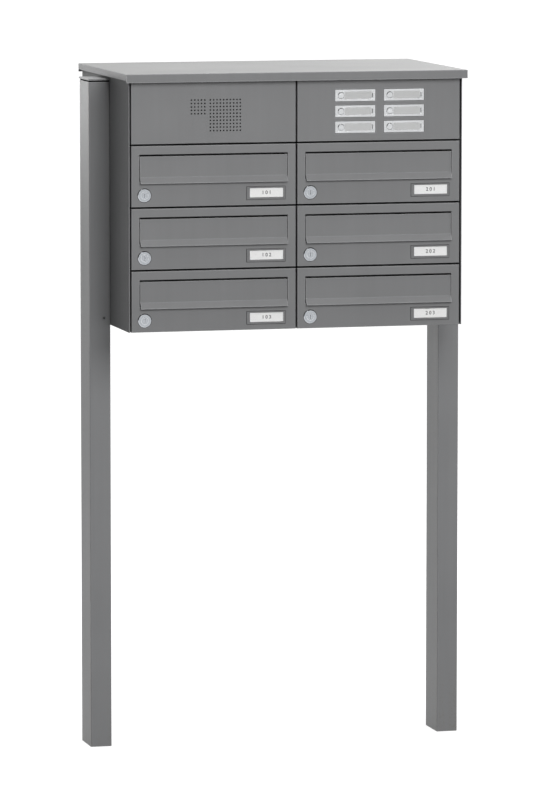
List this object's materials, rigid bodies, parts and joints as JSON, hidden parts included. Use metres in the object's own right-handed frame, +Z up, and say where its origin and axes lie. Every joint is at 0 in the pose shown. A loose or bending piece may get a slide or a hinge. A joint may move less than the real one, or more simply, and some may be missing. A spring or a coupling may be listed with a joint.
{
  "type": "cluster mailbox unit",
  "caption": "Free-standing cluster mailbox on two posts, with lockable letter boxes behind hinged doors, a speaker panel and bell buttons under a flat roof.",
  "frame": {"origin": "on the ground, under the middle of the unit's outer box", "axes": "+Z up, the doors face -Y, +X to the right when facing the doors"},
  "size_m": [0.684, 0.384, 1.2115],
  "materials": {
    "painted_sheet": "fine-textured powder coating",
    "painted_post": "fine-textured powder coating",
    "inner_box": "matt powder coating",
    "anodised": "satin anodised",
    "lock_metal": "nickel-plated zinc casting",
    "steel": "zinc-plated steel",
    "dark_plastic": "moulded",
    "holder_plastic": "moulded, coloured to match the paint"
  },
  "bodies": {
    "housing": {"left_post": "painted_post", "right_post": "painted_post", "post_caps": "painted_post", "left_side_panel": "painted_sheet", "right_side_panel": "painted_sheet", "rear_panel": "painted_sheet", "bottom_panel": "painted_sheet", "roof": "painted_sheet", "service_box": "inner_box", "speaker_panel": "painted_sheet", "bell_panel": "painted_sheet", "intercom_housing": "dark_plastic", "loudspeaker_and_microphone": "dark_plastic", "bell_frames": "anodised", "bell_switches": "dark_plastic", "door_hinge_pins": "steel", "mounting_bolts": "steel", "cover_screws": "steel", "mailbox_box_left_bottom": "inner_box", "mailbox_box_left_middle": "inner_box", "mailbox_box_left_top": "inner_box", "mailbox_box_right_bottom": "inner_box", "mailbox_box_right_middle": "inner_box", "mailbox_box_right_top": "inner_box"},
    "door_left_bottom": {"door_left_bottom": "painted_sheet", "lock_body_left_bottom": "lock_metal", "nameplate_left_bottom": "holder_plastic"},
    "flap_left_bottom": {"flap_left_bottom": "painted_sheet"},
    "lock_cam_left_bottom": {"lock_cam_left_bottom": "lock_metal"},
    "door_left_middle": {"door_left_middle": "painted_sheet", "lock_body_left_middle": "lock_metal", "nameplate_left_middle": "holder_plastic"},
    "flap_left_middle": {"flap_left_middle": "painted_sheet"},
    "lock_cam_left_middle": {"lock_cam_left_middle": "lock_metal"},
    "door_left_top": {"door_left_top": "painted_sheet", "lock_body_left_top": "lock_metal", "nameplate_left_top": "holder_plastic"},
    "flap_left_top": {"flap_left_top": "painted_sheet"},
    "lock_cam_left_top": {"lock_cam_left_top": "lock_metal"},
    "door_right_bottom": {"door_right_bottom": "painted_sheet", "lock_body_right_bottom": "lock_metal", "nameplate_right_bottom": "holder_plastic"},
    "flap_right_bottom": {"flap_right_bottom": "painted_sheet"},
    "lock_cam_right_bottom": {"lock_cam_right_bottom": "lock_metal"},
    "door_right_middle": {"door_right_middle": "painted_sheet", "lock_body_right_middle": "lock_metal", "nameplate_right_middle": "holder_plastic"},
    "flap_right_middle": {"flap_right_middle": "painted_sheet"},
    "lock_cam_right_middle": {"lock_cam_right_middle": "lock_metal"},
    "door_right_top": {"door_right_top": "painted_sheet", "lock_body_right_top": "lock_metal", "nameplate_right_top": "holder_plastic"},
    "flap_right_top": {"flap_right_top": "painted_sheet"},
    "lock_cam_right_top": {"lock_cam_right_top": "lock_metal"},
    "bell_button_left_bottom": {"bell_button_left_bottom": "anodised"},
    "bell_button_left_middle": {"bell_button_left_middle": "anodised"},
    "bell_button_left_top": {"bell_button_left_top": "anodised"},
    "bell_button_right_bottom": {"bell_button_right_bottom": "anodised"},
    "bell_button_right_middle": {"bell_button_right_middle": "anodised"},
    "bell_button_right_top": {"bell_button_right_top": "anodised"}
  },
  "joints": [
    {"name": "door_hinge_left_bottom", "type": "hinge", "parent": "housing", "child": "door_left_bottom", "pos_m": [-0.0065, -0.1745, 0.812], "axis": [0, 0, 1], "range_deg": [0, 95]},
    {"name": "flap_hinge_left_bottom", "type": "hinge", "parent": "door_left_bottom", "child": "flap_left_bottom", "pos_m": [-0.15, -0.1738, 0.8445], "axis": [-1, 0, 0], "range_deg": [0, 85]},
    {"name": "lock_turn_left_bottom", "type": "hinge", "parent": "door_left_bottom", "child": "lock_cam_left_bottom", "pos_m": [-0.275, -0.163, 0.779], "axis": [0, -1, 0], "range_deg": [0, 90]},
    {"name": "door_hinge_left_middle", "type": "hinge", "parent": "housing", "child": "door_left_middle", "pos_m": [-0.0065, -0.1745, 0.922], "axis": [0, 0, 1], "range_deg": [0, 95]},
    {"name": "flap_hinge_left_middle", "type": "hinge", "parent": "door_left_middle", "child": "flap_left_middle", "pos_m": [-0.15, -0.1738, 0.9545], "axis": [-1, 0, 0], "range_deg": [0, 85]},
    {"name": "lock_turn_left_middle", "type": "hinge", "parent": "door_left_middle", "child": "lock_cam_left_middle", "pos_m": [-0.275, -0.163, 0.889], "axis": [0, -1, 0], "range_deg": [0, 90]},
    {"name": "door_hinge_left_top", "type": "hinge", "parent": "housing", "child": "door_left_top", "pos_m": [-0.0065, -0.1745, 1.032], "axis": [0, 0, 1], "range_deg": [0, 95]},
    {"name": "flap_hinge_left_top", "type": "hinge", "parent": "door_left_top", "child": "flap_left_top", "pos_m": [-0.15, -0.1738, 1.0645], "axis": [-1, 0, 0], "range_deg": [0, 85]},
    {"name": "lock_turn_left_top", "type": "hinge", "parent": "door_left_top", "child": "lock_cam_left_top", "pos_m": [-0.275, -0.163, 0.999], "axis": [0, -1, 0], "range_deg": [0, 90]},
    {"name": "door_hinge_right_bottom", "type": "hinge", "parent": "housing", "child": "door_right_bottom", "pos_m": [0.2935, -0.1745, 0.812], "axis": [0, 0, 1], "range_deg": [0, 95]},
    {"name": "flap_hinge_right_bottom", "type": "hinge", "parent": "door_right_bottom", "child": "flap_right_bottom", "pos_m": [0.15, -0.1738, 0.8445], "axis": [-1, 0, 0], "range_deg": [0, 85]},
    {"name": "lock_turn_right_bottom", "type": "hinge", "parent": "door_right_bottom", "child": "lock_cam_right_bottom", "pos_m": [0.025, -0.163, 0.779], "axis": [0, -1, 0], "range_deg": [0, 90]},
    {"name": "door_hinge_right_middle", "type": "hinge", "parent": "housing", "child": "door_right_middle", "pos_m": [0.2935, -0.1745, 0.922], "axis": [0, 0, 1], "range_deg": [0, 95]},
    {"name": "flap_hinge_right_middle", "type": "hinge", "parent": "door_right_middle", "child": "flap_right_middle", "pos_m": [0.15, -0.1738, 0.9545], "axis": [-1, 0, 0], "range_deg": [0, 85]},
    {"name": "lock_turn_right_middle", "type": "hinge", "parent": "door_right_middle", "child": "lock_cam_right_middle", "pos_m": [0.025, -0.163, 0.889], "axis": [0, -1, 0], "range_deg": [0, 90]},
    {"name": "door_hinge_right_top", "type": "hinge", "parent": "housing", "child": "door_right_top", "pos_m": [0.2935, -0.1745, 1.032], "axis": [0, 0, 1], "range_deg": [0, 95]},
    {"name": "flap_hinge_right_top", "type": "hinge", "parent": "door_right_top", "child": "flap_right_top", "pos_m": [0.15, -0.1738, 1.0645], "axis": [-1, 0, 0], "range_deg": [0, 85]},
    {"name": "lock_turn_right_top", "type": "hinge", "parent": "door_right_top", "child": "lock_cam_right_top", "pos_m": [0.025, -0.163, 0.999], "axis": [0, -1, 0], "range_deg": [0, 90]},
    {"name": "bell_push_left_bottom", "type": "slide", "parent": "housing", "child": "bell_button_left_bottom", "axis": [0, 1, 0], "range_m": [0, 0.0015], "stiffness_N_per_m": 400, "springref_m": -0.0015},
    {"name": "bell_push_left_middle", "type": "slide", "parent": "housing", "child": "bell_button_left_middle", "axis": [0, 1, 0], "range_m": [0, 0.0015], "stiffness_N_per_m": 400, "springref_m": -0.0015},
    {"name": "bell_push_left_top", "type": "slide", "parent": "housing", "child": "bell_button_left_top", "axis": [0, 1, 0], "range_m": [0, 0.0015], "stiffness_N_per_m": 400, "springref_m": -0.0015},
    {"name": "bell_push_right_bottom", "type": "slide", "parent": "housing", "child": "bell_button_right_bottom", "axis": [0, 1, 0], "range_m": [0, 0.0015], "stiffness_N_per_m": 400, "springref_m": -0.0015},
    {"name": "bell_push_right_middle", "type": "slide", "parent": "housing", "child": "bell_button_right_middle", "axis": [0, 1, 0], "range_m": [0, 0.0015], "stiffness_N_per_m": 400, "springref_m": -0.0015},
    {"name": "bell_push_right_top", "type": "slide", "parent": "housing", "child": "bell_button_right_top", "axis": [0, 1, 0], "range_m": [0, 0.0015], "stiffness_N_per_m": 400, "springref_m": -0.0015}
  ]
}
